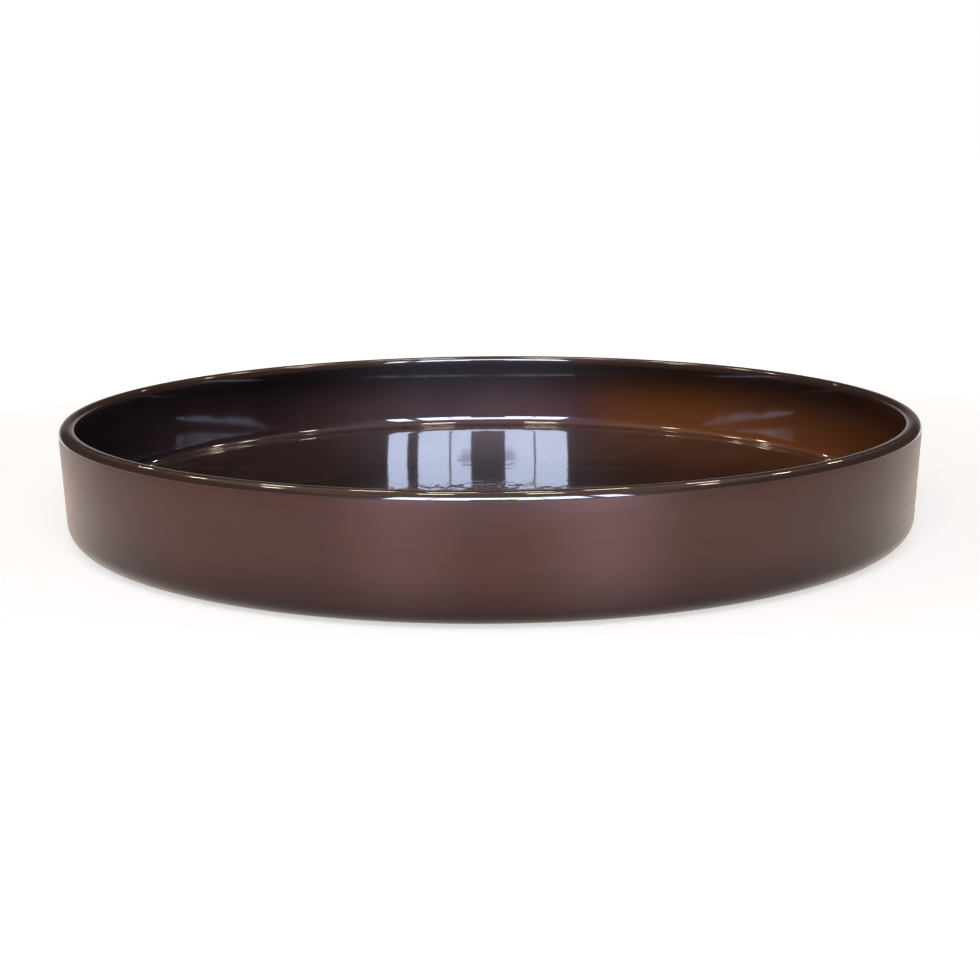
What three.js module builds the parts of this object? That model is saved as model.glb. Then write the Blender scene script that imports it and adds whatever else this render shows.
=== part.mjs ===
// Round plant saucer of spun sheet metal with two skins: a satin outer pan and a gloss inner liner.
// The liner's edge rolls over the pan's wired edge to make the lip. A filler board between the two
// floors carries the pot, and rubber pads keep the pan off the ground.
// Millimetres, +Z up, origin on the ground under the centre.
import * as THREE from 'three';

// Overall size
const rimRadius = 200;
const dishHeight = 52;
const roundSteps = 64;

// Sheet metal of the two skins
const panSheet = 0.8;
const linerSheet = 0.8;

// Lip: as wide as the wall is thick, with a tight bend on its inside, a flatter crown and a round
// outside. The crown lies between two directions, and the liner's edge ends at a third. The pan's
// wall carries on below that edge, almost flush with it.
const lipWidth = 7.8;
const lipInsideBend = 2.2;
const lipCrown = 7;
const crownFrom = 105;
const crownTo = 80;
const lipEnd = 12;
const lipProud = 0.1;
const seamGap = 0.1;
const lipGap = 0.3;
const wireGap = 0.3;
const curlTurn = 250;

// Outer pan
const panTaper = 2.6;
const panCorner = 9;

// Inner liner, with its floor's height measured from the pan's underside
const linerTaper = 4;
const coveRadius = 5.6;
const floorHeight = 12.6;

// Filler board
const boardSetback = 2;
const boardChamfer = 1;

// Foot pads
const padCount = 4;
const padRadius = 10;
const padThickness = 1.5;
const padRing = 150;
const padChamfer = 0.4;
const padSteps = 24;

const radians = THREE.MathUtils.degToRad;

// The lip's centre line, which the wire and both rolled edges share
const lipRadius = lipWidth / 2;
const lipCentreR = rimRadius - lipRadius;
const lipCentreZ = padThickness + dishHeight - lipRadius;

// A point on the face of a sheet, with the direction that the face looks in
function facePoint(r, z, lookR, lookZ) {
  return { r, z, lookR, lookZ };
}

// An arc of a face, between two directions in degrees. A hollow arc's face looks at its centre.
function arc(centreR, centreZ, radius, from, to, steps, hollow = false) {
  const side = hollow ? -1 : 1;
  const points = [];
  for (let i = 0; i <= steps; i += 1) {
    const angle = radians(from + ((to - from) * i) / steps);
    const c = Math.cos(angle);
    const s = Math.sin(angle);
    points.push(facePoint(centreR + radius * c, centreZ + radius * s, side * c, side * s));
  }
  return points;
}

// The closed section of a sheet: its face, and the same face set back by the thickness
function sheetSection(face, thickness) {
  const front = face.map((p) => new THREE.Vector2(p.r, p.z));
  const back = face.map(
    (p) => new THREE.Vector2(p.r - thickness * p.lookR, p.z - thickness * p.lookZ),
  );
  return [...front, ...back.reverse()];
}

// A section turned about the upright axis
function turned(section, steps) {
  const geometry = new THREE.LatheGeometry(section, steps);
  geometry.rotateX(Math.PI / 2);
  return geometry;
}

// A flat disc with both of its edges chamfered
function disc(radius, bottomZ, topZ, chamfer, steps) {
  const section = [
    new THREE.Vector2(0, bottomZ),
    new THREE.Vector2(radius - chamfer, bottomZ),
    new THREE.Vector2(radius, bottomZ + chamfer),
    new THREE.Vector2(radius, topZ - chamfer),
    new THREE.Vector2(radius - chamfer, topZ),
    new THREE.Vector2(0, topZ),
  ];
  return turned(section, steps);
}

function piece(name, geometry, material) {
  const mesh = new THREE.Mesh(geometry, material);
  mesh.name = name;
  return mesh;
}

// The liner's floor, wall and lip. A point of the wall's face lies at a given height and a given
// distance in front of it.
const linerFloorZ = padThickness + floorHeight;
const rimTopZ = padThickness + dishHeight;

function beforeWall(z, distance) {
  const taper = radians(linerTaper);
  const lean = (lipCentreZ - z) * Math.tan(taper);
  return lipCentreR - lean - (lipRadius + distance) / Math.cos(taper);
}

const coveZ = linerFloorZ + coveRadius;
const linerFloorRadius = beforeWall(coveZ, coveRadius);

const crownZ = rimTopZ - lipCrown;
const insideZ = crownZ + (lipCrown - lipInsideBend) * Math.sin(radians(crownFrom));
const insideR = beforeWall(insideZ, -lipInsideBend);
const crownR = insideR - (lipCrown - lipInsideBend) * Math.cos(radians(crownFrom));
const crownEnd = Math.cos(radians(crownTo));
const outsideBend = (rimRadius - crownR - lipCrown * crownEnd) / (1 - crownEnd);
const outsideR = rimRadius - outsideBend;
const outsideZ = crownZ + (lipCrown - outsideBend) * Math.sin(radians(crownTo));

// The liner: flat floor, cove, wall and lip. The crown is two arcs, so that a point lies on the
// lip's very top.
function linerSection() {
  const face = [
    facePoint(0, linerFloorZ, 0, 1),
    ...arc(linerFloorRadius, coveZ, coveRadius, -90, -linerTaper, 6, true),
    ...arc(insideR, insideZ, lipInsideBend, 180 - linerTaper, crownFrom, 4),
    ...arc(crownR, crownZ, lipCrown, crownFrom, 90, 1).slice(1),
    ...arc(crownR, crownZ, lipCrown, 90, crownTo, 1).slice(1),
    ...arc(outsideR, outsideZ, outsideBend, crownTo, lipEnd, 4).slice(1),
  ];
  return sheetSection(face, linerSheet).reverse();
}

// A sharp fold of a sheet's face, with the directions in degrees that its two sides look in
function fold(r, z, firstLook, secondLook) {
  const first = radians(firstLook);
  const second = radians(secondLook);
  const open = 1 + Math.cos(second - first);
  const lookR = (Math.cos(first) + Math.cos(second)) / open;
  const lookZ = (Math.sin(first) + Math.sin(second)) / open;
  return facePoint(r, z, lookR, lookZ);
}

// The pan: flat floor, corner and wall, then a narrow shelf under the liner's edge, and a curl that
// closes round the wire
const beadRadius = lipRadius - linerSheet - lipGap;
const wireRadius = beadRadius - panSheet - wireGap;

function panSection() {
  const shelf = radians(lipEnd) - seamGap / outsideBend;
  const shelfLook = 90 + THREE.MathUtils.radToDeg(shelf);
  const edgeR = outsideR + (outsideBend - lipProud) * Math.cos(shelf);
  const edgeZ = outsideZ + (outsideBend - lipProud) * Math.sin(shelf);

  // The shelf ends where its line meets the curl
  const acrossR = outsideR - lipCentreR;
  const acrossZ = outsideZ - lipCentreZ;
  const along = acrossR * Math.cos(shelf) + acrossZ * Math.sin(shelf);
  const apart = acrossR ** 2 + acrossZ ** 2;
  const reach = Math.sqrt(along ** 2 - apart + beadRadius ** 2) - along;
  const innerR = outsideR + reach * Math.cos(shelf);
  const innerZ = outsideZ + reach * Math.sin(shelf);
  const curlFrom = THREE.MathUtils.radToDeg(Math.atan2(innerZ - lipCentreZ, innerR - lipCentreR));

  // The corner's centre is as far inside the wall's line as its radius
  const taper = radians(panTaper);
  const cornerZ = padThickness + panCorner;
  const lean = (edgeZ - cornerZ) * Math.tan(taper);
  const cornerR = edgeR - lean - panCorner / Math.cos(taper);

  const face = [
    facePoint(0, padThickness, 0, -1),
    ...arc(cornerR, cornerZ, panCorner, -90, -panTaper, 5),
    fold(edgeR, edgeZ, -panTaper, shelfLook),
    fold(innerR, innerZ, shelfLook, curlFrom),
    ...arc(lipCentreR, lipCentreZ, beadRadius, curlFrom, curlTurn, 9).slice(1),
  ];
  return sheetSection(face, panSheet);
}

const satinBronze = new THREE.MeshStandardMaterial({
  color: 0x5f4240,
  roughness: 0.45,
  metalness: 0.6,
});
const glossBrown = new THREE.MeshStandardMaterial({
  color: 0x3c221c,
  roughness: 0.1,
  metalness: 0.2,
});
const wireSteel = new THREE.MeshStandardMaterial({
  color: 0x8c9094,
  roughness: 0.35,
  metalness: 1,
});
const boardGrey = new THREE.MeshStandardMaterial({
  color: 0xc9c7c0,
  roughness: 0.8,
  metalness: 0,
});
const padBlack = new THREE.MeshStandardMaterial({
  color: 0x1d1d1e,
  roughness: 0.75,
  metalness: 0,
});

const saucer = new THREE.Group();
saucer.add(piece('outer_pan', turned(panSection(), roundSteps), satinBronze));
saucer.add(piece('inner_liner', turned(linerSection(), roundSteps), glossBrown));

// The wire ring lies inside the pan's curl
const wire = new THREE.TorusGeometry(lipCentreR, wireRadius, 8, roundSteps);
wire.translate(0, 0, lipCentreZ);
saucer.add(piece('rim_wire', wire, wireSteel));

// The filler board lies on the pan's floor and touches the underside of the liner's floor
const boardRadius = linerFloorRadius - boardSetback;
const boardBottom = padThickness + panSheet;
const boardTop = linerFloorZ - linerSheet;
const board = disc(boardRadius, boardBottom, boardTop, boardChamfer, roundSteps);
saucer.add(piece('core_disc', board, boardGrey));

// The pads are stuck to the pan's underside
for (let i = 0; i < padCount; i += 1) {
  const pad = piece(
    `foot_pad_${i + 1}`,
    disc(padRadius, 0, padThickness, padChamfer, padSteps),
    padBlack,
  );
  const angle = (2 * Math.PI * (i + 0.5)) / padCount;
  pad.position.set(padRing * Math.cos(angle), padRing * Math.sin(angle), 0);
  saucer.add(pad);
}

export default saucer;
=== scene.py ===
# Round plant saucer of spun sheet metal: a satin outer pan, and a gloss liner whose edge rolls
# over the pan's wired edge. Metres, +Z up, origin on the ground under the centre.
import math

import bpy
from mathutils import Matrix, Vector


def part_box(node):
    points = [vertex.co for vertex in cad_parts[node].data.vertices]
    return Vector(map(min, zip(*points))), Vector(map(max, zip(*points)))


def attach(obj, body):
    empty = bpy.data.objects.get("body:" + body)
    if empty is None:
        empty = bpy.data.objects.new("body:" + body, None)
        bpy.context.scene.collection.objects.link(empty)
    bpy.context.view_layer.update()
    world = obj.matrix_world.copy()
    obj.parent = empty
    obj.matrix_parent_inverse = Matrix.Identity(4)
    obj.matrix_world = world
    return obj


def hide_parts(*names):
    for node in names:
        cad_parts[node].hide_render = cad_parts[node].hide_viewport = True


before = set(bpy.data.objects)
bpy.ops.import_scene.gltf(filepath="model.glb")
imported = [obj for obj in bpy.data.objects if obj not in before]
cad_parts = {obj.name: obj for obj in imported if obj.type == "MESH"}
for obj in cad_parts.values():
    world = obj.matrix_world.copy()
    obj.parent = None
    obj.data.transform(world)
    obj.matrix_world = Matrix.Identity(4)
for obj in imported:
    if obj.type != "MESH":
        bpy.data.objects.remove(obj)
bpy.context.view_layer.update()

MM = 0.001

# Sizes that the frame gives
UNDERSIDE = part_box("outer_pan")[0][2]
RIM_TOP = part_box("inner_liner")[1][2]
wire_low, wire_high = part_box("rim_wire")
board_low, board_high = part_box("core_disc")
pad_low, pad_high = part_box("foot_pad_1")
WIRE_Z = (wire_low[2] + wire_high[2]) / 2
WIRE_RADIUS = (wire_high[2] - wire_low[2]) / 2
WIRE_RING = wire_high[0] - WIRE_RADIUS

# Sheet, lip and walls. The rim's radius is that of the lip's full round. The directions in which
# the bends start and end are in degrees up from level outwards, and the tapers in degrees from
# upright. CUT_EDGE rounds the sheets' cut edges.
RIM_RADIUS = 200 * MM
SHEET = 0.8 * MM
LIP_WIDTH = 7.8 * MM
LIP_PROUD = 0.1 * MM
SEAM_GAP = 0.1 * MM
LIP_GAP = 0.3 * MM
LIP_END = 12
LIP_INSIDE_BEND = 2.2 * MM
LIP_CROWN = 7.0 * MM
CROWN_FROM = 105
CROWN_TO = 80
CURL_TURN = 250
CUT_EDGE = 0.10 * MM
PAN_TAPER = 2.6
PAN_CORNER = 9.0 * MM
LINER_TAPER = 4.0
COVE_RADIUS = 5.6 * MM
FLOOR_TOP = 14.1 * MM

# Steps round the upright axis, and along each bend
ROUND_STEPS = 256
PAN_CORNER_STEPS = 14
CURL_STEPS = 30
COVE_STEPS = 16
LIP_INSIDE_STEPS = 12
CROWN_STEPS = 5
LIP_OUTSIDE_STEPS = 12
WIRE_STEPS = 20

# Board and pads. The pads' two inset widths are shares of their radius.
BOARD_SIDES = 192
BOARD_EDGE = 1.0 * MM
PAD_COUNT = 4
PAD_SIDES = 72
PAD_EDGE = 0.4 * MM
PAD_HOLLOW = 0.25 * MM
PAD_BORDER = 0.22
PAD_SLOPE = 0.10
EDGE_SEGMENTS = 3

# Points closer than this are one point, and edges sharper than this many degrees are rounded
MERGE_GAP = 0.01 * MM
SHARP_EDGE = 50


# Modelling by hand
def deselect_all():
    if bpy.context.object and bpy.context.object.mode != "OBJECT":
        bpy.ops.object.mode_set(mode="OBJECT")
    bpy.ops.object.select_all(action="DESELECT")


def name_piece(name):
    piece = bpy.context.object
    piece.name = name
    piece.data.name = name
    return piece


def start_section(name, r, z):
    """Draws a plane together to the section's first point. The section lies in X and Z, and the
    piece remembers the point where its drawing has got to."""
    deselect_all()
    bpy.ops.mesh.primitive_plane_add(size=1 * MM, location=(0, 0, 0))
    piece = name_piece(name)
    bpy.ops.object.mode_set(mode="EDIT")
    bpy.ops.mesh.select_all(action="SELECT")
    bpy.ops.mesh.merge(type="CENTER")
    bpy.ops.transform.translate(value=(r, 0, z))
    piece["pen"] = (r, z)
    return piece


def line_to(piece, r, z):
    from_r, from_z = piece["pen"]
    bpy.ops.mesh.extrude_region_move(
        TRANSFORM_OT_translate={"value": (r - from_r, 0, z - from_z)}
    )
    piece["pen"] = (r, z)


def arc_about(piece, centre_r, centre_z, degrees, steps):
    """Turns the section's end about a centre, anticlockwise with r to the right and z up."""
    bpy.ops.mesh.spin(
        steps=steps,
        angle=math.radians(degrees),
        center=(centre_r, 0, centre_z),
        axis=(0, 1, 0),
    )
    r, z = piece["pen"]
    c, s = math.cos(math.radians(degrees)), math.sin(math.radians(degrees))
    dr, dz = r - centre_r, z - centre_z
    piece["pen"] = (centre_r + c * dr - s * dz, centre_z + s * dr + c * dz)


def turn_section(piece):
    """Spins the section right round the upright axis and closes the seam and the pole."""
    del piece["pen"]
    bpy.ops.mesh.select_all(action="SELECT")
    bpy.ops.mesh.spin(steps=ROUND_STEPS, angle=2 * math.pi, center=(0, 0, 0), axis=(0, 0, 1))
    bpy.ops.mesh.select_all(action="SELECT")
    bpy.ops.mesh.remove_doubles(threshold=MERGE_GAP)
    bpy.ops.mesh.normals_make_consistent(inside=False)
    bpy.ops.object.mode_set(mode="OBJECT")


def face_near(piece, place):
    return min(piece.data.polygons, key=lambda face: (face.center - Vector(place)).length)


def give_thickness(piece, thickness, place, looks):
    """Makes the skin a sheet, its drawn face outside. The face nearest to place looks that way."""
    if face_near(piece, place).normal.dot(Vector(looks)) < 0:
        bpy.ops.object.mode_set(mode="EDIT")
        bpy.ops.mesh.select_all(action="SELECT")
        bpy.ops.mesh.flip_normals()
        bpy.ops.object.mode_set(mode="OBJECT")
    solid = piece.modifiers.new("Sheet", "SOLIDIFY")
    solid.thickness = thickness
    solid.offset = -1
    solid.use_even_offset = True
    bpy.ops.object.modifier_apply(modifier=solid.name)


def round_edges(piece, width, segments):
    bevel = piece.modifiers.new("Edges", "BEVEL")
    bevel.width = width
    bevel.segments = segments
    bevel.limit_method = "ANGLE"
    bevel.angle_limit = math.radians(SHARP_EDGE)
    bpy.ops.object.modifier_apply(modifier=bevel.name)


def settle_in_mesh(piece):
    """Puts the piece's place into its mesh, so that the object sits unturned at the origin."""
    deselect_all()
    piece.select_set(True)
    bpy.context.view_layer.objects.active = piece
    bpy.ops.object.transform_apply(location=True, rotation=True, scale=True)


def smooth(piece, degrees=40):
    deselect_all()
    piece.select_set(True)
    bpy.context.view_layer.objects.active = piece
    bpy.ops.object.shade_smooth_by_angle(angle=math.radians(degrees))


# Lip: the liner's wall line, inside bend, crown and outside bend
def before_wall(z, distance):
    """Radius of a point at a height that lies a distance in front of the liner's wall."""
    taper = math.radians(LINER_TAPER)
    lean = (LIP_CENTRE_Z - z) * math.tan(taper)
    return LIP_CENTRE_R - lean - (LIP_WIDTH / 2 + distance) / math.cos(taper)


LIP_CENTRE_R = RIM_RADIUS - LIP_WIDTH / 2
LIP_CENTRE_Z = RIM_TOP - LIP_WIDTH / 2
CROWN_Z = RIM_TOP - LIP_CROWN
INSIDE_Z = CROWN_Z + (LIP_CROWN - LIP_INSIDE_BEND) * math.sin(math.radians(CROWN_FROM))
INSIDE_R = before_wall(INSIDE_Z, -LIP_INSIDE_BEND)
CROWN_R = INSIDE_R - (LIP_CROWN - LIP_INSIDE_BEND) * math.cos(math.radians(CROWN_FROM))
CROWN_END = math.cos(math.radians(CROWN_TO))
OUTSIDE_BEND = (RIM_RADIUS - CROWN_R - LIP_CROWN * CROWN_END) / (1 - CROWN_END)
OUTSIDE_R = RIM_RADIUS - OUTSIDE_BEND
OUTSIDE_Z = CROWN_Z + (LIP_CROWN - OUTSIDE_BEND) * math.sin(math.radians(CROWN_TO))


# Outer pan: floor, rounded corner, wall, shelf under the liner's edge, curl round the wire
def make_outer_pan():
    taper = math.radians(PAN_TAPER)
    bead = LIP_WIDTH / 2 - SHEET - LIP_GAP
    shelf = math.radians(LIP_END) - SEAM_GAP / OUTSIDE_BEND
    edge_r = OUTSIDE_R + (OUTSIDE_BEND - LIP_PROUD) * math.cos(shelf)
    edge_z = OUTSIDE_Z + (OUTSIDE_BEND - LIP_PROUD) * math.sin(shelf)
    across = Vector((OUTSIDE_R - LIP_CENTRE_R, OUTSIDE_Z - LIP_CENTRE_Z))
    along = across.dot(Vector((math.cos(shelf), math.sin(shelf))))
    reach = math.sqrt(along**2 - across.length_squared + bead**2) - along
    inner_r = OUTSIDE_R + reach * math.cos(shelf)
    inner_z = OUTSIDE_Z + reach * math.sin(shelf)
    curl_from = math.degrees(math.atan2(inner_z - LIP_CENTRE_Z, inner_r - LIP_CENTRE_R))
    corner_z = UNDERSIDE + PAN_CORNER
    corner_r = edge_r - (edge_z - corner_z) * math.tan(taper) - PAN_CORNER / math.cos(taper)

    pan = start_section("spun_outer_pan", 0, UNDERSIDE)
    line_to(pan, corner_r * 0.5, UNDERSIDE)
    line_to(pan, corner_r, UNDERSIDE)
    arc_about(pan, corner_r, corner_z, 90 - PAN_TAPER, PAN_CORNER_STEPS)
    wall_r, wall_z = pan["pen"]
    line_to(pan, (wall_r + edge_r) / 2, (wall_z + edge_z) / 2)
    line_to(pan, edge_r, edge_z)
    line_to(pan, inner_r, inner_z)
    arc_about(pan, LIP_CENTRE_R, LIP_CENTRE_Z, CURL_TURN - curl_from, CURL_STEPS)
    turn_section(pan)
    give_thickness(pan, SHEET, (0, 0, UNDERSIDE), (0, 0, -1))
    round_edges(pan, CUT_EDGE, 2)
    smooth(pan)
    return pan


# Inner liner: floor, cove, wall and lip
def make_inner_liner():
    taper = math.radians(LINER_TAPER)
    cove_z = FLOOR_TOP + COVE_RADIUS
    cove_r = before_wall(cove_z, COVE_RADIUS)
    liner = start_section("spun_inner_liner", 0, FLOOR_TOP)
    line_to(liner, cove_r * 0.5, FLOOR_TOP)
    line_to(liner, cove_r, FLOOR_TOP)
    arc_about(liner, cove_r, cove_z, 90 - LINER_TAPER, COVE_STEPS)
    wall_r, wall_z = liner["pen"]
    top_r = INSIDE_R - LIP_INSIDE_BEND * math.cos(taper)
    top_z = INSIDE_Z + LIP_INSIDE_BEND * math.sin(taper)
    line_to(liner, (wall_r + top_r) / 2, (wall_z + top_z) / 2)
    line_to(liner, top_r, top_z)
    arc_about(liner, INSIDE_R, INSIDE_Z, CROWN_FROM - (180 - LINER_TAPER), LIP_INSIDE_STEPS)
    arc_about(liner, CROWN_R, CROWN_Z, CROWN_TO - CROWN_FROM, CROWN_STEPS)
    arc_about(liner, OUTSIDE_R, OUTSIDE_Z, LIP_END - CROWN_TO, LIP_OUTSIDE_STEPS)
    turn_section(liner)
    give_thickness(liner, SHEET, (0, 0, FLOOR_TOP), (0, 0, 1))
    round_edges(liner, CUT_EDGE, 2)
    smooth(liner)
    return liner


# Wire ring inside the pan's curl
def make_rim_wire():
    wire = start_section("drawn_rim_wire", WIRE_RING + WIRE_RADIUS, WIRE_Z)
    arc_about(wire, WIRE_RING, WIRE_Z, 360, WIRE_STEPS)
    turn_section(wire)
    smooth(wire)
    return wire


# Filler board between the two floors
def make_board():
    deselect_all()
    thickness = board_high[2] - board_low[2]
    bpy.ops.mesh.primitive_cylinder_add(
        vertices=BOARD_SIDES,
        radius=board_high[0],
        depth=thickness,
        end_fill_type="NGON",
        location=(0, 0, board_low[2] + thickness / 2),
    )
    board = name_piece("cut_filler_board")
    settle_in_mesh(board)
    round_edges(board, BOARD_EDGE, EDGE_SEGMENTS)
    smooth(board)
    return board


# Foot pads: one is modelled, with a rounded edge and a shallow hollow underneath, and copied
def make_pads():
    deselect_all()
    radius = (pad_high[0] - pad_low[0]) / 2
    thickness = pad_high[2] - pad_low[2]
    bpy.ops.mesh.primitive_cylinder_add(
        vertices=PAD_SIDES,
        radius=radius,
        depth=thickness,
        end_fill_type="NGON",
        location=(0, 0, pad_low[2] + thickness / 2),
    )
    first = name_piece("moulded_pad_1")
    settle_in_mesh(first)
    bpy.ops.object.mode_set(mode="EDIT")
    bpy.ops.mesh.select_all(action="DESELECT")
    bpy.ops.object.mode_set(mode="OBJECT")
    face_near(first, (0, 0, pad_low[2])).select = True
    bpy.ops.object.mode_set(mode="EDIT")
    bpy.ops.mesh.inset(thickness=radius * PAD_BORDER)
    bpy.ops.mesh.inset(thickness=radius * PAD_SLOPE)
    bpy.ops.transform.translate(value=(0, 0, PAD_HOLLOW))
    bpy.ops.object.mode_set(mode="OBJECT")
    round_edges(first, PAD_EDGE, EDGE_SEGMENTS)
    smooth(first, SHARP_EDGE)

    pads = []
    for i in range(PAD_COUNT):
        low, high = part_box(f"foot_pad_{i + 1}")
        pad = first.copy()
        pad.data = first.data.copy()
        pad.name = pad.data.name = f"moulded_foot_pad_{i + 1}"
        bpy.context.scene.collection.objects.link(pad)
        pad.location = ((low[0] + high[0]) / 2, (low[1] + high[1]) / 2, 0)
        settle_in_mesh(pad)
        pads.append(pad)
    bpy.data.objects.remove(first)
    return pads


# Finishes, painted on Object coordinates in metres
class Finish:
    def __init__(self, name):
        self.material = bpy.data.materials.new(name)
        self.material.use_nodes = True
        self.nodes = self.material.node_tree.nodes
        self.links = self.material.node_tree.links
        self.surface = self.nodes["Principled BSDF"]
        self.place = self.nodes.new("ShaderNodeTexCoord").outputs["Object"]

    def set(self, socket, value):
        self.surface.inputs[socket].default_value = value

    def join(self, source, socket):
        self.links.new(source, self.surface.inputs[socket])

    def stretched(self, x, y, z):
        """The place on the piece, multiplied along each axis."""
        node = self.nodes.new("ShaderNodeMapping")
        node.inputs["Scale"].default_value = (x, y, z)
        self.links.new(self.place, node.inputs["Vector"])
        return node.outputs["Vector"]

    def clouds(self, size, where=None, detail=2.0, roughness=0.5):
        """Soft noise from 0 to 1, with lumps of a given size."""
        node = self.nodes.new("ShaderNodeTexNoise")
        node.inputs["Scale"].default_value = 1 / size
        node.inputs["Detail"].default_value = detail
        node.inputs["Roughness"].default_value = roughness
        self.links.new(where or self.place, node.inputs["Vector"])
        return node.outputs["Fac"]

    def levels(self, value, low, high, to_low=0.0, to_high=1.0, even=False):
        """Turns the range from low to high into another, with soft ends or evenly."""
        node = self.nodes.new("ShaderNodeMapRange")
        node.interpolation_type = "LINEAR" if even else "SMOOTHSTEP"
        limits = {"From Min": low, "From Max": high, "To Min": to_low, "To Max": to_high}
        for name, number in limits.items():
            node.inputs[name].default_value = number
        self.links.new(value, node.inputs["Value"])
        return node.outputs["Result"]

    def ramp(self, value, low, high, stops):
        """Colours at places between low and high, blended smoothly from one to the next."""
        node = self.nodes.new("ShaderNodeValToRGB")
        node.color_ramp.interpolation = "B_SPLINE"
        marks = node.color_ramp.elements
        while len(marks) < len(stops):
            marks.new(1.0)
        for mark, (place, colour) in zip(marks, stops):
            mark.position = (place - low) / (high - low)
            mark.color = (*colour, 1)
        self.links.new(self.levels(value, low, high, even=True), node.inputs["Fac"])
        return node.outputs["Color"]

    def combine(self, kind, first, second=0.0):
        """One sum on one or two values, such as ADD, MULTIPLY, ABSOLUTE or SINE."""
        node = self.nodes.new("ShaderNodeMath")
        node.operation = kind
        for socket, value in zip(node.inputs, (first, second)):
            if isinstance(value, (int, float)):
                socket.default_value = value
            else:
                self.links.new(value, socket)
        return node.outputs["Value"]

    def axis(self, name):
        node = self.nodes.new("ShaderNodeSeparateXYZ")
        self.links.new(self.place, node.inputs["Vector"])
        return node.outputs[name]

    def from_centre(self):
        """Distance from the upright axis."""
        node = self.nodes.new("ShaderNodeVectorMath")
        node.operation = "LENGTH"
        self.links.new(self.stretched(1, 1, 0), node.inputs[0])
        return node.outputs["Value"]

    def blend(self, amount, first, second, kind="MIX"):
        """The first colour, with an amount of the second mixed in or multiplied onto it."""
        node = self.nodes.new("ShaderNodeMix")
        node.data_type = "RGBA"
        node.blend_type = kind
        for index, value in ((0, amount), (6, first), (7, second)):
            if isinstance(value, tuple):
                node.inputs[index].default_value = (*value, 1)
            elif isinstance(value, (int, float)):
                node.inputs[index].default_value = value
            else:
                self.links.new(value, node.inputs[index])
        return node.outputs[2]

    def grey(self, value):
        node = self.nodes.new("ShaderNodeCombineColor")
        for socket in ("Red", "Green", "Blue"):
            self.links.new(value, node.inputs[socket])
        return node.outputs["Color"]

    def relief(self, height, depth, under=None):
        """Bump of a given depth, on top of another if there is one."""
        node = self.nodes.new("ShaderNodeBump")
        node.inputs["Strength"].default_value = 1.0
        node.inputs["Distance"].default_value = depth
        self.links.new(height, node.inputs["Height"])
        if under:
            self.links.new(under, node.inputs["Normal"])
        return node.outputs["Normal"]


SPIN_PITCH = 1.6 * MM


# Outside: satin lacquer, mauve-brown with warmer and olive clouds, two paler upright patches that
# are painted reflections of the windows, faint level streaks, painted shade that grows towards
# the foot, and spin lines on the underside
def satin_lacquer():
    f = Finish("satin_bronze")
    x = f.axis("X")
    z = f.axis("Z")
    warm_clouds = f.levels(f.clouds(95 * MM, detail=3), 0.40, 0.62)
    olive_clouds = f.levels(f.clouds(140 * MM, f.stretched(1, 1, 2)), 0.48, 0.66)
    body = f.blend(warm_clouds, (0.090, 0.041, 0.038), (0.108, 0.044, 0.038))
    body = f.blend(olive_clouds, body, (0.088, 0.045, 0.038))
    # Painted reflections of the windows: two pale upright bands on the lacquer, left and right of
    # the middle
    from_left = f.combine("ABSOLUTE", f.combine("ADD", x, 34 * MM))
    from_right = f.combine("ABSOLUTE", f.combine("ADD", x, -44 * MM))
    painted_reflection_left = f.levels(from_left, 0.0, 32 * MM, 0.5, 0.0)
    painted_reflection_right = f.levels(from_right, 0.0, 36 * MM, 0.9, 0.0)
    body = f.blend(f.combine("ADD", painted_reflection_left, painted_reflection_right), body, (0.165, 0.086, 0.089))
    streaks = f.clouds(40 * MM, f.stretched(1, 1, 14), detail=2)
    # Painted shade: the lacquer is made darker towards the foot, where the wall turns down over
    # the ground
    foot = f.levels(z, UNDERSIDE, 28 * MM, 0.34, 1.04)
    shade = f.combine("MULTIPLY", foot, f.levels(streaks, 0.3, 0.7, 0.965, 1.035))
    f.join(f.blend(1.0, body, f.grey(shade), "MULTIPLY"), "Base Color")
    grain = f.clouds(0.7 * MM, detail=2)
    streak_rough = f.levels(streaks, 0.3, 0.7, 0.30, 0.34)
    grain_rough = f.levels(grain, 0.3, 0.7, -0.02, 0.02)
    f.join(f.combine("ADD", streak_rough, grain_rough), "Roughness")
    f.set("IOR", 1.31)
    f.set("Sheen Weight", 0.70)
    f.set("Sheen Roughness", 0.30)
    f.set("Sheen Tint", (1.0, 0.78, 0.62, 1.0))
    rings = f.combine("SINE", f.combine("MULTIPLY", f.from_centre(), 2 * math.pi / SPIN_PITCH))
    under = f.levels(z, UNDERSIDE + 0.1 * MM, UNDERSIDE + 2 * MM, 1.0, 0.0)
    lines = f.relief(f.combine("MULTIPLY", rings, under), 0.012 * MM)
    waves = f.relief(f.clouds(26 * MM, f.stretched(1, 1, 3), detail=1), 0.06 * MM, lines)
    f.join(f.relief(grain, 0.008 * MM, waves), "Normal")
    return f.material


# Heights between which the enamel's colours change from floor to wall and from wall to lip
FLOOR_FADES = FLOOR_TOP + 0.1 * MM
FLOOR_ENDS = FLOOR_TOP + 1.2 * MM
WALL_FOOT = 19 * MM
WALL_HEAD = 49 * MM
LIP_FOOT = 51 * MM
COAT_FADE = 4 * MM
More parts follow.
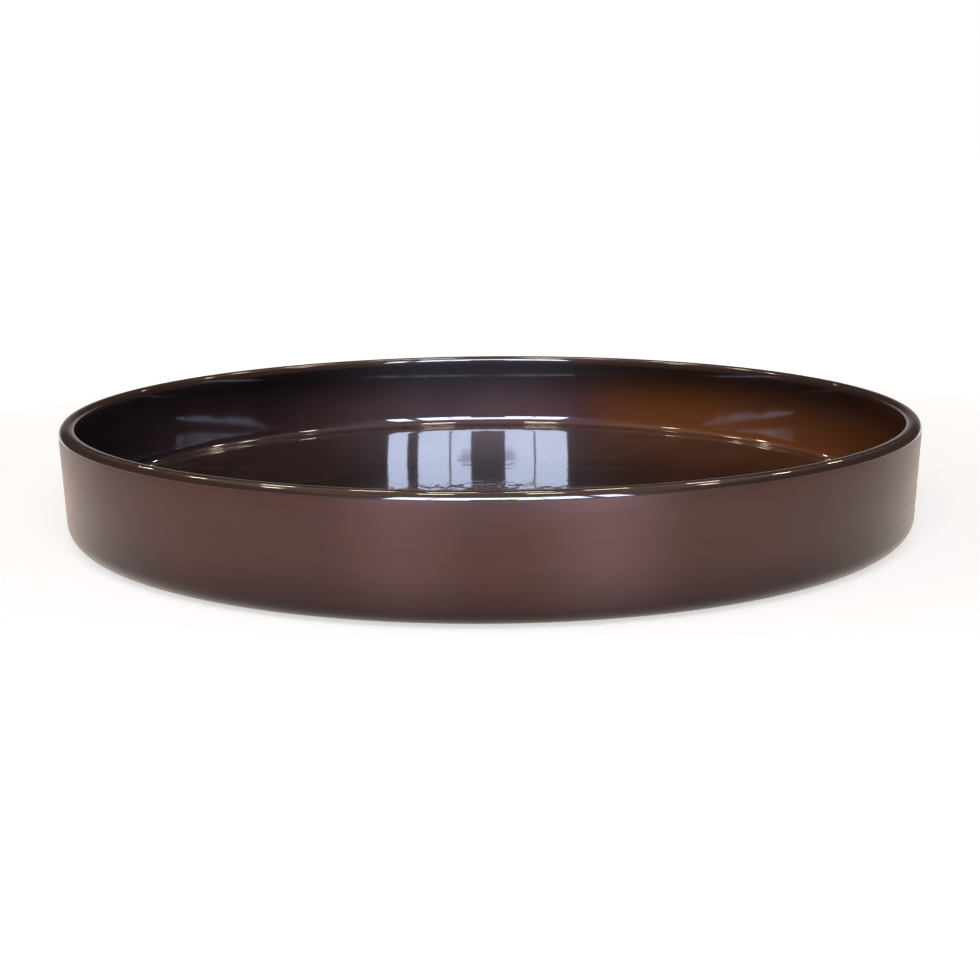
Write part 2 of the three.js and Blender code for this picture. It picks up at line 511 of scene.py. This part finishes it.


# Inside and lip: gloss enamel. The wall's colour is painted light and shade: near-black on the
# side that gets little light, violet in the middle as a painted reflection of the windows, and
# amber on the lit side. It is painted lighter towards the floor and darker near the lip, as the
# lip's shade. The floor is rippled, with clouds and pale marks.
# The clear coat is thinner on the wall's two sides.
def gloss_enamel():
    f = Finish("gloss_brown")
    x = f.axis("X")
    z = f.axis("Z")
    wander = f.clouds(60 * MM, f.stretched(1, 1, 0.7), detail=3)
    across = f.combine("ADD", x, f.levels(wander, 0.3, 0.7, -26 * MM, 26 * MM))
    # Painted light and shade across the wall: dark where little light falls, a painted reflection
    # of the windows in the middle, amber where the wall is lit
    wall = f.ramp(across, -200 * MM, 200 * MM, [
        (-200 * MM, (0.0008, 0.0003, 0.0005)),
        (-120 * MM, (0.015, 0.008, 0.010)),
        (-70 * MM, (0.028, 0.013, 0.014)),
        (-30 * MM, (0.040, 0.023, 0.029)),
        (10 * MM, (0.064, 0.033, 0.043)),
        (50 * MM, (0.033, 0.012, 0.013)),
        (110 * MM, (0.088, 0.028, 0.007)),
        (200 * MM, (0.080, 0.024, 0.002)),
    ])
    # Painted shade from the lip: the wall is made lighter towards the floor and darker up under
    # the lip
    height = f.levels(z, WALL_FOOT, WALL_HEAD, 1.6, 0.15)
    wall = f.blend(1.0, wall, f.grey(height), "MULTIPLY")
    ground_clouds = f.levels(f.clouds(28 * MM, detail=4, roughness=0.6), 0.35, 0.65)
    ground = f.blend(ground_clouds, (0.021, 0.009, 0.008), (0.048, 0.019, 0.015))
    marks = f.clouds(30 * MM, f.stretched(1, 1.8, 1), detail=6, roughness=0.62)
    ground = f.blend(f.levels(marks, 0.55, 0.65, 0.0, 0.42), ground, (0.085, 0.066, 0.058))
    on_floor = f.levels(z, FLOOR_FADES, FLOOR_ENDS, 1.0, 0.0)
    on_lip = f.levels(z, WALL_HEAD, LIP_FOOT)
    body = f.blend(on_lip, f.blend(on_floor, wall, ground), (0.042, 0.020, 0.016))
    f.join(body, "Base Color")
    f.set("Roughness", 0.36)
    f.set("IOR", 1.22)
    above_foot = f.levels(z, WALL_FOOT, WALL_FOOT + COAT_FADE)
    below_head = f.levels(z, WALL_HEAD - COAT_FADE, WALL_HEAD, 1.0, 0.0)
    sides = f.levels(f.combine("ABSOLUTE", x), 75 * MM, 115 * MM)
    thin_coat = f.combine("MULTIPLY", f.combine("MULTIPLY", above_foot, below_head), sides)
    f.join(f.levels(thin_coat, 0.0, 1.0, 1.0, 0.45, even=True), "Coat Weight")
    f.set("Coat Roughness", 0.04)
    f.set("Coat IOR", 1.8)
    peel = f.relief(f.clouds(3.0 * MM, detail=1), 0.0007 * MM)
    ripples = f.clouds(3.6 * MM, f.stretched(1, 0.45, 1), detail=1)
    swells = f.clouds(30 * MM, detail=1)
    waves = f.relief(f.combine("MULTIPLY", ripples, on_floor), 0.07 * MM, peel)
    waves = f.relief(f.combine("MULTIPLY", swells, on_floor), 0.12 * MM, waves)
    f.join(waves, "Normal")
    f.join(waves, "Coat Normal")
    return f.material


# Bare drawn wire with fine lengthwise lines
def drawn_steel():
    f = Finish("wire_steel")
    lines = f.clouds(4 * MM, f.stretched(1, 1, 30), detail=3)
    stain = f.clouds(25 * MM, detail=3)
    body = f.blend(f.levels(stain, 0.4, 0.7), (0.42, 0.43, 0.44), (0.33, 0.31, 0.29))
    f.join(body, "Base Color")
    f.join(f.levels(lines, 0.3, 0.7, 0.28, 0.42), "Roughness")
    f.set("Metallic", 1.0)
    f.join(f.relief(lines, 0.01 * MM), "Normal")
    return f.material


# Closed-cell board: pale, matt and finely pitted
def closed_cell_board():
    f = Finish("filler_board")
    cells = f.nodes.new("ShaderNodeTexVoronoi")
    cells.inputs["Scale"].default_value = 1 / (0.9 * MM)
    f.links.new(f.place, cells.inputs["Vector"])
    pits = f.levels(cells.outputs["Distance"], 0.1, 0.6)
    tint = f.levels(f.clouds(30 * MM, detail=3), 0.35, 0.65)
    body = f.blend(tint, (0.60, 0.59, 0.55), (0.53, 0.52, 0.48))
    f.join(f.blend(pits, body, (0.64, 0.63, 0.59)), "Base Color")
    f.join(f.levels(pits, 0.0, 1.0, 0.85, 0.75), "Roughness")
    f.join(f.relief(pits, 0.08 * MM), "Normal")
    return f.material


# Moulded rubber: black, matt, with a little dust in its grain
def moulded_rubber():
    f = Finish("pad_rubber")
    grain = f.clouds(0.5 * MM, detail=3)
    dust = f.levels(f.clouds(6 * MM, detail=4), 0.45, 0.7)
    f.join(f.blend(dust, (0.012, 0.012, 0.012), (0.030, 0.028, 0.026)), "Base Color")
    f.join(f.levels(grain, 0.3, 0.7, 0.62, 0.82), "Roughness")
    f.join(f.relief(grain, 0.03 * MM), "Normal")
    return f.material


def fit(piece, node, material):
    piece.data.materials.clear()
    piece.data.materials.append(material)
    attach(piece, "root")
    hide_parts(node)


fit(make_outer_pan(), "outer_pan", satin_lacquer())
fit(make_inner_liner(), "inner_liner", gloss_enamel())
fit(make_rim_wire(), "rim_wire", drawn_steel())
fit(make_board(), "core_disc", closed_cell_board())
rubber = moulded_rubber()
for number, pad in enumerate(make_pads(), start=1):
    fit(pad, f"foot_pad_{number}", rubber)


# Studio: pale floor, white surroundings, plain screens, window panes and ceiling strips
def bare_tree(owner, output_kind):
    """Empties the nodes of a material or a world, and gives it an output."""
    owner.use_nodes = True
    nodes = owner.node_tree.nodes
    nodes.clear()
    return nodes, owner.node_tree.links, nodes.new(output_kind)


def seen_rays(nodes, links):
    """1 for a ray that shows the background: straight from the camera, mirrored or let through."""
    path = nodes.new("ShaderNodeLightPath")
    total = path.outputs["Is Camera Ray"]
    for name in ("Is Glossy Ray", "Is Transmission Ray"):
        add = nodes.new("ShaderNodeMath")
        add.operation = "ADD"
        add.use_clamp = True
        links.new(total, add.inputs[0])
        links.new(path.outputs[name], add.inputs[1])
        total = add.outputs["Value"]
    return total


# The floor's own glow, for the rays that show the background, rises to white with the distance
FLOOR_SIZE = 24
FLOOR_COLOUR = (0.60, 0.605, 0.63)
FLOOR_GLOW = 0.62
GLOW_FROM = 0.30
GLOW_TO = 1.0


def make_floor():
    deselect_all()
    bpy.ops.mesh.primitive_plane_add(size=FLOOR_SIZE, location=(0, 0, 0))
    floor = name_piece("studio_floor")
    material = bpy.data.materials.new("pale_floor")
    nodes, links, output = bare_tree(material, "ShaderNodeOutputMaterial")
    diffuse = nodes.new("ShaderNodeBsdfDiffuse")
    diffuse.inputs["Color"].default_value = (*FLOOR_COLOUR, 1)
    point = nodes.new("ShaderNodeTexCoord")
    distance = nodes.new("ShaderNodeVectorMath")
    distance.operation = "LENGTH"
    links.new(point.outputs["Object"], distance.inputs[0])
    strength = nodes.new("ShaderNodeMapRange")
    strength.interpolation_type = "SMOOTHSTEP"
    strength.inputs["From Min"].default_value = GLOW_FROM
    strength.inputs["From Max"].default_value = GLOW_TO
    strength.inputs["To Min"].default_value = FLOOR_GLOW
    strength.inputs["To Max"].default_value = 1.0
    links.new(distance.outputs["Value"], strength.inputs["Value"])
    glow = nodes.new("ShaderNodeEmission")
    links.new(strength.outputs["Result"], glow.inputs["Strength"])
    both = nodes.new("ShaderNodeAddShader")
    links.new(diffuse.outputs[0], both.inputs[0])
    links.new(glow.outputs[0], both.inputs[1])
    mix = nodes.new("ShaderNodeMixShader")
    links.new(seen_rays(nodes, links), mix.inputs[0])
    links.new(diffuse.outputs[0], mix.inputs[1])
    links.new(both.outputs[0], mix.inputs[2])
    links.new(mix.outputs[0], output.inputs["Surface"])
    floor.data.materials.append(material)


WORLD_LIGHT = 0.60


def make_world():
    world = bpy.data.worlds.new("studio")
    bpy.context.scene.world = world
    nodes, links, output = bare_tree(world, "ShaderNodeOutputWorld")
    light = nodes.new("ShaderNodeBackground")
    light.inputs["Color"].default_value = (WORLD_LIGHT, WORLD_LIGHT, WORLD_LIGHT, 1)
    white = nodes.new("ShaderNodeBackground")
    white.inputs["Color"].default_value = (1, 1, 1, 1)
    mix = nodes.new("ShaderNodeMixShader")
    links.new(seen_rays(nodes, links), mix.inputs[0])
    links.new(light.outputs[0], mix.inputs[1])
    links.new(white.outputs[0], mix.inputs[2])
    links.new(mix.outputs[0], output.inputs["Surface"])


# How far the glow at a screen's foot reaches to the sides and upwards, and what share is even
FOOT_REACH = (2.9, 0.95)
FOOT_EVEN = 0.35


def screen(name, place, turn, width, height, colour, foot=None):
    """A plain screen that the saucer mirrors and the camera doesn't see. It can have a soft glow
    at the middle of its foot."""
    deselect_all()
    bpy.ops.mesh.primitive_plane_add(size=1, location=(0, 0, 0))
    panel = name_piece(name)
    panel.scale = (width, height, 1)
    panel.rotation_euler = [math.radians(a) for a in turn]
    panel.location = place
    settle_in_mesh(panel)
    material = bpy.data.materials.new(name)
    nodes, links, output = bare_tree(material, "ShaderNodeOutputMaterial")
    glow = nodes.new("ShaderNodeEmission")
    glow.inputs["Color"].default_value = (*colour, 1)
    if foot:
        point = nodes.new("ShaderNodeTexCoord")
        spread = nodes.new("ShaderNodeMapping")
        spread.inputs["Scale"].default_value = (1 / FOOT_REACH[0], 0, 1 / FOOT_REACH[1])
        links.new(point.outputs["Object"], spread.inputs["Vector"])
        distance = nodes.new("ShaderNodeVectorMath")
        distance.operation = "LENGTH"
        links.new(spread.outputs["Vector"], distance.inputs[0])
        fade = nodes.new("ShaderNodeMapRange")
        fade.interpolation_type = "SMOOTHSTEP"
        fade.inputs["From Min"].default_value = FOOT_EVEN
        links.new(distance.outputs["Value"], fade.inputs["Value"])
        mix = nodes.new("ShaderNodeMix")
        mix.data_type = "RGBA"
        mix.inputs[6].default_value = (*foot, 1)
        mix.inputs[7].default_value = (*colour, 1)
        links.new(fade.outputs["Result"], mix.inputs[0])
        links.new(mix.outputs[2], glow.inputs["Color"])
    links.new(glow.outputs[0], output.inputs["Surface"])
    panel.data.materials.append(material)
    panel.visible_camera = False
    panel.visible_shadow = False


def panel_lamp(name, place, turn, width, height, radiance, colour, mirrored=True):
    """A rectangular lamp that is either mirrored or lights the colours softly. Radiance 1 is as
    bright as a white surface in full light."""
    data = bpy.data.lights.new(name, "AREA")
    data.shape = "RECTANGLE"
    data.size = width
    data.size_y = height
    data.energy = radiance * math.pi * width * height
    data.color = colour
    lamp = bpy.data.objects.new(name, data)
    bpy.context.scene.collection.objects.link(lamp)
    lamp.location = place
    lamp.rotation_euler = [math.radians(a) for a in turn]
    lamp.visible_camera = False
    lamp.visible_diffuse = not mirrored
    lamp.visible_glossy = mirrored


WINDOW_COLOUR = (0.65, 0.735, 1.0)
WINDOW_LEVEL = 18.3
WINDOW_WALL = 3.0
WINDOW_SILL = 13
WINDOW_HEAD = 46
ABOVE_PILLAR = 27


def make_windows():
    """Upright panes in one plane behind the camera, each between two directions to the side and
    two upwards, in degrees. The short pane stands over the pillar in the middle."""
    panes = [
        (-26, -15.3, WINDOW_SILL),
        (-14.7, -5, WINDOW_SILL),
        (-5, 6.5, ABOVE_PILLAR),
        (6.5, 13.2, WINDOW_SILL),
        (13.8, 24.3, WINDOW_SILL),
        (28, 34.5, WINDOW_SILL),
    ]
    for i, (left, right, low) in enumerate(panes):
        x0, x1 = (WINDOW_WALL * math.tan(math.radians(a)) for a in (left, right))
        z0, z1 = (WINDOW_WALL * math.tan(math.radians(a)) for a in (low, WINDOW_HEAD))
        panel_lamp(f"window_pane_{i + 1}", ((x0 + x1) / 2, -WINDOW_WALL, (z0 + z1) / 2),
                   (90, 0, 0), x1 - x0, z1 - z0, WINDOW_LEVEL, WINDOW_COLOUR)


STRIP_COLOUR = (1.0, 0.85, 0.66)
STRIP_LEVEL = 36.0
STRIP_WIDTH = 0.19
STRIP_DEPTH = 0.13
CEILING = 2.2


def make_strips():
    """Ceiling lights in rows across the room, the same on both sides of the middle. Each row has
    its distance back and its lights' distances to the side, as shares of the ceiling's height."""
    rows = [(0.0, (0.13, 0.65)), (0.62, (0.066, 0.21, 0.42, 0.71)), (1.3, (0.8,)), (1.8, (1.0,))]
    spots = [(side * u, v) for v, places in rows for u in places for side in (-1, 1)]
    for i, (u, v) in enumerate(spots):
        panel_lamp(f"ceiling_strip_{i + 1}", (u * CEILING, v * CEILING, CEILING), (0, 0, 0),
                   STRIP_WIDTH, STRIP_DEPTH, STRIP_LEVEL, STRIP_COLOUR)


DARK = (0.03, 0.025, 0.025)
HORIZON = (0.50, 0.42, 0.38)
CEILING_TONE = (0.32, 0.235, 0.20)
PILLAR_ARMS_Y = -2.95


def make_screens():
    """The room's four walls and its ceiling, and small arms on the pillar between the windows.
    Each arm has its left and right ends and its foot and head."""
    screen("front_screen", (0, -3.3, 2.2), (90, 0, 0), 9.0, 4.6, DARK)
    screen("right_screen", (3.6, 0.15, 2.2), (90, 0, 90), 7.0, 4.6, DARK)
    screen("left_screen", (-3.6, 0.15, 2.2), (90, 0, 90), 7.0, 4.6, DARK)
    screen("back_screen", (0, 3.6, 2.2), (90, 0, 0), 7.2, 4.6, DARK, HORIZON)
    screen("ceiling_screen", (0, 0.15, 4.4), (0, 0, 0), 9.0, 7.0, CEILING_TONE)
    arms = [
        (-0.47, -0.25, 1.068, 1.098),
        (0.32, 0.58, 1.066, 1.098),
        (-0.40, -0.25, 1.120, 1.142),
        (0.32, 0.50, 1.120, 1.142),
    ]
    for i, (left, right, low, high) in enumerate(arms):
        middle = ((left + right) / 2, PILLAR_ARMS_Y, (low + high) / 2)
        screen(f"pillar_arm_{i + 1}", middle, (90, 0, 0), right - left, high - low, DARK)


# Camera, in metres and radians, from the fit to the saucer's outline
CAMERA_PLACE = (0, -0.81475, 0.18089)
PITCH = 0.20253
YAW = -0.00033
ROLL = -0.0082
LENS = 63.616


def make_camera():
    data = bpy.data.cameras.new("camera")
    data.sensor_fit = "HORIZONTAL"
    data.sensor_width = 36
    data.lens = LENS
    data.clip_start = 0.01
    data.clip_end = 100
    camera = bpy.data.objects.new("camera", data)
    bpy.context.scene.collection.objects.link(camera)
    level_out = math.cos(PITCH)
    forward = Vector((math.sin(YAW) * level_out, math.cos(YAW) * level_out, -math.sin(PITCH)))
    level = forward.cross(Vector((0, 0, 1))).normalized()
    above = level.cross(forward)
    right = level * math.cos(ROLL) + above * math.sin(ROLL)
    up = above * math.cos(ROLL) - level * math.sin(ROLL)
    turn = Matrix((right, up, -forward)).transposed().to_4x4()
    camera.matrix_world = Matrix.Translation(CAMERA_PLACE) @ turn
    bpy.context.scene.camera = camera


def make_fills():
    """Broad soft lamps, which light the colours and aren't mirrored. Each has its place, turn,
    width, height, radiance and colour."""
    fills = {
        "front_fill": ((0, -3.0, 1.9), (60, 0, 0), 3.0, 2.4, 5.2, (1.0, 0.96, 0.90)),
        "left_fill": ((-3.0, -0.8, 1.6), (0, -62, 0), 2.4, 2.4, 1.4, (1.0, 0.93, 0.84)),
        "right_fill": ((3.0, -0.8, 1.6), (0, 62, 0), 2.4, 2.4, 0.5, (1.0, 0.95, 0.90)),
    }
    for name, settings in fills.items():
        panel_lamp(name, *settings, mirrored=False)


make_floor()
make_world()
make_screens()
make_windows()
make_strips()
make_fills()
make_camera()
bpy.context.scene.view_settings.view_transform = "Standard"
